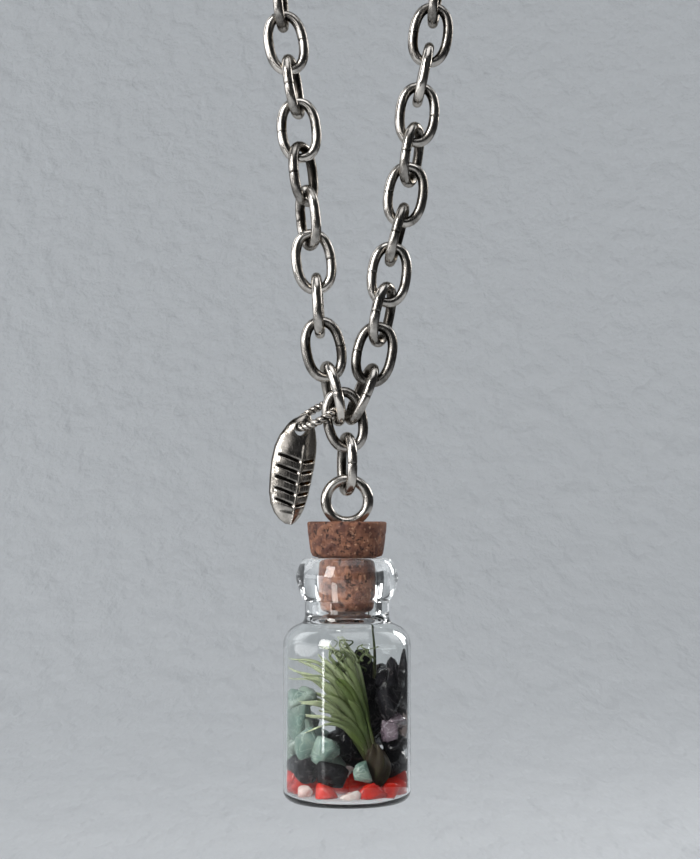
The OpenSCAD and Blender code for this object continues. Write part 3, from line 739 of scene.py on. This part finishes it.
def chip(middle, size, seed):
    """A broken chip: a ball cut by eleven seeded planes with narrow rounded edges between the cuts,
    stretched to its size and pressed in where it meets the glass and the floor."""
    cut_count, sharp = 11, 26
    rng = np.random.default_rng(seed)
    d = ball_rows(CHIP_ROWS, CHIP_COLS, 0.04)
    cuts = unit(rng.normal(size=(cut_count, 3))) / rng.uniform(0.6, 0.98, (cut_count, 1))
    soft = np.maximum((np.clip(d @ cuts.T, 0, None) ** sharp).sum(axis=-1), 1e-9) ** (-1 / sharp)
    p = d * np.minimum(soft, 1.2)[..., None] * size
    p = pressed_in(p * (1 + 0.035 * wave(p, seed, 0.5)[..., None]) + middle, INNER_R - 0.04)
    p[..., 2] = np.maximum(p[..., 2], FLOOR_Z + 0.24)
    return p.reshape(-1, 3)


def chip_places(letter):
    """Middle, size and seed of each chip of a letter: those at the front glass, and those of the
    two charts, apart from the three columns of the wall that lie behind the front ones."""
    for k, (mark, x, back, z, wide, high) in enumerate(FRONT):
        if mark == letter:
            deep = 0.8 * min(wide, high)
            glass_y = -math.sqrt(max(INNER_R - 0.15 - deep, abs(x) * 1.001) ** 2 - x * x)
            yield (x, glass_y if back is None else back, z), (wide, deep, high), 900 + k
    wall_r, middle_r = INNER_R - CHIP_R - CHIP_GAP, (MIDDLE_R + CHIP_GAP / 2) / math.sin(math.pi / 4)
    for chart, r, first, step, covered, size, seed in (
            (WALL_CHART, wall_r, -90, 36, (0, 1, 9), (1.25, 1.25, 1.0), 0),
            (MIDDLE_CHART, middle_r, 45, 90, (), (1.1, 1.1, 0.95), 400)):
        for layer, row in enumerate(chart):
            for place, mark in enumerate(row):
                if mark == letter and place not in covered:
                    a = math.radians(first + place * step)
                    middle = (r * math.cos(a), r * math.sin(a), CHIP_LOW + layer * CHIP_PITCH)
                    yield middle, size, seed + 31 * layer + place


def chips():
    """The stones of each colour as one mesh, each stone with its own tone."""
    quads = capped(CHIP_ROWS, CHIP_COLS)
    for letter, (node, slot, clear, gloss, coat, colours) in STONES.items():
        skin = dressed("Stone " + node.split("_")[0], STONE, 0.2, 0.00005, marks=("Tone",), inputs=colours,
                       Transmission_Weight=clear, Specular_IOR_Level=gloss, Coat_Weight=coat,
                       Coat_Roughness=0.06)
        places = list(chip_places(letter))
        tones = np.random.default_rng(9).uniform(0, 1, len(places))
        points, faces, tone = join([(chip(np.array(middle), np.array(size), seed), quads,
                                     np.full(CHIP_ROWS * CHIP_COLS, shade))
                                    for (middle, size, seed), shade in zip(places, tones)])
        solid(node.replace("_chip", "_stone"), "pendant", skin, points, faces, node, slot, tone=tone)


chips()


def blade(line, side, width, thick, alongs, shade):
    """A blade: a folded section of eight points, as wide and as thick as each step says, carried
    along its line and closed at both ends."""
    count = 8
    way = unit(np.gradient(line, axis=0))
    across = unit(side - way * (way @ side)[:, None])
    face = np.cross(way, across)
    x, y = np.cos(around(count)), np.sin(around(count))
    w, h = width[:, None, None], thick[:, None, None]
    folded = y[:, None] * h + (np.abs(x)[:, None] - 0.4) * w * 0.45
    p = (line[:, None] + across[:, None] * x[:, None] * w + face[:, None] * folded).reshape(-1, 3)
    return p, capped(len(line), count), np.repeat(alongs, count), np.full(len(p), shade)


def plant():
    """The air plant: a brown foot, blades that rise over the straight way from the foot to their
    tips by a fifth of their reach, two more beside each, and thin curling threads at the top."""
    rng = np.random.default_rng(21)
    foot = np.array([2.15, -2.9, -20.4])
    # Tips: across, back, height, half width, paleness; the pale grey-green is the plant's own, and on the
    # blades to the left it is also a painted reflection
    tips = [[-4.75, -1.0, -12.7, 0.3, 0.9], [-4.2, -0.4, -11.9, 0.34, 1.0], [-3.2, -2.0, -12.2, 0.36, 0.8],
            [-4.7, -0.8, -14.4, 0.3, 0.6], [-2.3, -1.2, -11.6, 0.4, 0.7], [-1.0, -3.0, -13.4, 0.62, 0.05],
            [-0.3, -2.6, -12.0, 0.55, 0.15], [-0.6, -2.2, -10.4, 0.42, 0.35], [0.2, -1.2, -10.6, 0.3, 0.6],
            [-1.6, -0.6, -10.3, 0.36, 0.7], [-4.1, -2.2, -15.4, 0.34, 0.9], [-3.2, -3.3, -16.5, 0.34, 1.0],
            [-2.2, -3.0, -14.6, 0.5, 0.3], [0.1, -3.4, -15.0, 0.5, 0.1], [-1.4, -3.4, -16.3, 0.5, 0.2],
            [-0.4, 0.4, -9.8, 0.3, 0.6]]
    flat_side = np.array([1.0, 0.2, 0.1])
    pieces = []
    t = np.linspace(0, 1, 26)
    for *tip, half, pale in tips:
        for loose in (0.0, 1.0, 1.0):
            end = np.array(tip) + loose * rng.uniform([-0.8, -0.8, -1.6], [0.35, 1.2, 0.3])
            start = foot + loose * rng.uniform([-0.35, -0.3, -0.5], [0.35, 0.4, 0.9])
            rise = 0.2 * np.linalg.norm(end - start) * (1 + 0.5 * loose * rng.uniform(-1, 1))
            line = start + (end - start) * t[:, None]
            line[:, 2] += rise * np.sin(math.pi * t) ** 1.2
            side = np.array([1.0, rng.uniform(-0.7, 0.7), rng.uniform(0.0, 0.5)])
            width = half * (0.62 if loose else 1) * (1 - t) ** 0.75 * (0.75 + 0.9 * t) + 0.03
            shade = np.clip(pale + 0.25 * loose * rng.uniform(-1, 1), 0, 1)
            line = pressed_in(line, INNER_R - 0.2)
            pieces.append(blade(line, side, width, 0.2 * width + 0.02, 0.12 + 0.88 * t, shade))
    s = np.linspace(0, 1, 44)
    for k in range(16):
        start = foot + np.array([rng.uniform(-3.4, -0.2), rng.uniform(0.3, 2.4), rng.uniform(7.4, 9.0)])
        curl, size = rng.uniform(6, 12), rng.uniform(0.2, 0.5)
        line = start + np.stack([rng.uniform(-1.4, 1.6) * s + size * np.sin(curl * s + k),
                                 size * np.cos(curl * s + k) - 0.5 * s,
                                 rng.uniform(2.2, 3.4) * s - 0.8 * s ** 3], -1)
        line[:, 2] = np.minimum(line[:, 2], -8.6 - 0.1 * k)
        pieces.append(blade(pressed_in(line, 3.4), flat_side, 0.085 * (1 - s) + 0.03, 0.05 * (1 - s) + 0.02,
                            0.55 + 0.45 * s, rng.uniform(0, 0.8)))
    # A long dark thread that stands up into the neck
    s = np.linspace(0, 1, 30)
    line = np.stack([2.35 + 0.06 * np.sin(5 * s) - 0.45 * s ** 4, -0.4 + 0.2 * s, -13.5 + 5.9 * s], -1)
    pieces.append(blade(line, flat_side, 0.12 * (1 - s) + 0.05, 0.06 * (1 - s) + 0.03, 0.2 + 0.15 * s, 0.0))
    # The foot: a ball with five lobes, nearly twice as high as wide, whose top leans to the left
    rows, cols, first = 24, 30, 0.02
    ball = ball_rows(rows, cols, first)
    lat, lon = np.linspace(first, math.pi - first, rows)[:, None], around(cols)
    ball = ball * (1 + 0.1 * np.cos(5 * lon + 4 * lat))[..., None] * [1.0, 0.95, 1.75]
    ball = ball + [2.6, -2.95, -20.6] + np.clip(ball[..., 2:], 0, 2) * [-0.25, 0, 0]
    pieces.append((ball.reshape(-1, 3), capped(rows, cols)[:, ::-1], np.full(rows * cols, 0.02),
                   np.full(rows * cols, 0.3)))
    points, quads, along, tone = join(pieces)
    solid("plant_blades", "pendant", leaf_skin, points, quads, "air_plant", "plant", along=along, tone=tone)


plant()


# Stage: a round sweep of pale plaster, soft lights and the camera, in metres

# Radius of the floor, radius of the round between floor and wall, and the floor's height
FLOOR_R, ROUND_R, STAGE_Z = 0.7, 0.8, -0.33
WALL_R = FLOOR_R + ROUND_R


def backdrop(name, r, z, turn, material, wrapped):
    """Rows of points at radius r, height z and the angles of turn, as an object of the stage."""
    p = np.stack([r * np.cos(turn), r * np.sin(turn), z + 0 * turn], -1)
    mesh = bpy.data.meshes.new(name)
    quads = grid_faces(p.shape[0], p.shape[1], wrap_cols=wrapped)
    mesh.from_pydata(p.reshape(-1, 3).tolist(), [], quads.tolist())
    mesh.materials.append(material)
    obj = bpy.data.objects.new(name, mesh)
    bpy.context.scene.collection.objects.link(obj)
    return obj


def sweep():
    """The floor, a quarter round and a wall, of matt plaster with a slight relief."""
    material = bpy.data.materials.new("Pale sweep")
    tree = nodes_of(material)
    bsdf = tree.nodes["Principled BSDF"]
    bsdf.inputs["Base Color"].default_value = (0.55, 0.565, 0.58, 1)
    bsdf.inputs["Roughness"].default_value = 0.9
    plaster = noise(tree, stretched(tree, own_place(tree), (55, 18, 55)), 1.0, 4.0)
    relief = add(tree, "ShaderNodeBump", Strength=0.8, Distance=0.008, Height=plaster)
    tree.links.new(relief.outputs[0], bsdf.inputs["Normal"])
    a = np.radians(np.linspace(10, 90, 12))
    r = np.concatenate([np.linspace(0, FLOOR_R, 8), FLOOR_R + ROUND_R * np.sin(a), [WALL_R, WALL_R]])
    z = np.concatenate([np.full(8, STAGE_Z), STAGE_Z + ROUND_R * (1 - np.cos(a)), [1.0, 2.0]])
    faces = backdrop("sweep", r[:, None], z[:, None], around(96), material, True).data.polygons
    faces.foreach_set("use_smooth", np.ones(len(faces), dtype=bool))


def dark_card():
    """A dark screen just inside the sweep, behind the camera and on the right, and low down on the
    left too. It shows only in gloss and through the glass."""
    material = bpy.data.materials.new("Dark screen")
    bsdf = nodes_of(material).nodes["Principled BSDF"]
    bsdf.inputs["Base Color"].default_value = (0.05, 0.05, 0.052, 1)
    inset = 0.015
    round_r, low = ROUND_R - inset, STAGE_Z + inset
    a = np.radians(np.linspace(0, 90, 10))
    r = np.concatenate([[0.48, 0.6], FLOOR_R + round_r * np.sin(a), [WALL_R - inset]])[:, None]
    z = np.concatenate([[low, low], STAGE_Z + ROUND_R - round_r * np.cos(a), [1.1]])[:, None]
    left, low_left, right = -165, -192, 58
    start = np.where((z < -0.1) & (r > 0.5), low_left, left)
    turn = np.radians(start + (right - start) * np.linspace(0, 1, 41))
    card = backdrop("dark_card", r, z, turn, material, False)
    card.visible_camera = card.visible_shadow = card.visible_diffuse = False


def lamp(name, where, aim, size, power, colour=(1, 1, 1)):
    """A rectangular lamp, as wide and high as its size, turned to its aim."""
    light = bpy.data.lights.new(name, "AREA")
    light.shape, light.size, light.size_y = "RECTANGLE", size[0], size[1]
    light.energy, light.color = power, colour
    obj = bpy.data.objects.new(name, light)
    obj.location = where
    obj.rotation_euler = (Vector(aim) - Vector(where)).to_track_quat("-Z", "Y").to_euler()
    bpy.context.scene.collection.objects.link(obj)
    return obj


def lamps():
    """A window and a soft ceiling light the pendant, with a low strip, a fill and an edge light.
    The veil and the soft front light show only in gloss and through the glass, and the last two
    light the wall."""
    aim, cool = (0, 0, -0.2), (0.97, 0.98, 1.0)
    lamp("window", (-0.46, -0.48, 0.08), aim, (0.24, 0.42), 4.8, (1.0, 0.99, 0.97))
    lamp("over", (0.1, -0.35, 0.72), aim, (0.9, 0.8), 3.6, cool)
    lamp("left_veil", (-0.85, -0.12, -0.12), aim, (0.9, 0.34), 2.6, cool).visible_diffuse = False
    lamp("low_strip", (-0.43, -0.45, -0.3), (0, 0, -0.24), (0.04, 0.09), 0.12)
    fill = lamp("fill", (0.75, -0.55, -0.1), aim, (0.5, 0.5), 0.8, (0.93, 0.96, 1.0))
    fill.visible_glossy = fill.visible_transmission = False
    lamp("edge", (0.5, 0.5, 0.05), aim, (0.15, 0.3), 1.6)
    lamp("front_soft", (-0.3, -0.85, -0.03), aim, (0.45, 0.3), 0.5).visible_diffuse = False
    lamp("wall_left", (-0.9, 0.5, 0.5), (0.2, 1.4, 0.08), (0.8, 0.8), 4.9, (0.96, 0.98, 1.0))
    lamp("wall_right", (0.9, 0.5, 0.5), (-0.2, 1.4, 0.08), (0.8, 0.8), 3.35, (0.96, 0.98, 1.0))
    world = bpy.data.worlds.new("World")
    bpy.context.scene.world = world
    sky = nodes_of(world).nodes["Background"]
    sky.inputs["Color"].default_value = (0.8, 0.84, 0.88, 1)
    sky.inputs["Strength"].default_value = 0.2


def camera():
    """The camera at the photo's place: a little right of the eye's axis, level with the cork's top
    and tilted a little up. Its focal length is in the photo's pixels."""
    focal_px, photo_h, sensor_h = 1840, 859, 36
    across, back, tilt = 0.26, -0.16, 92.86
    lens = bpy.data.cameras.new("camera")
    lens.sensor_fit, lens.sensor_height, lens.lens = "VERTICAL", sensor_h, sensor_h * focal_px / photo_h
    lens.clip_start = 0.005
    eye = bpy.data.objects.new("camera", lens)
    eye.location = ((across - MIDDLE_X) / 1000, back, -ORIGIN_Z / 1000)
    eye.rotation_euler = (math.radians(tilt), 0, 0)
    bpy.context.scene.collection.objects.link(eye)
    bpy.context.scene.camera = eye


sweep()
dark_card()
lamps()
camera()
bpy.context.scene.view_settings.view_transform = "Standard"
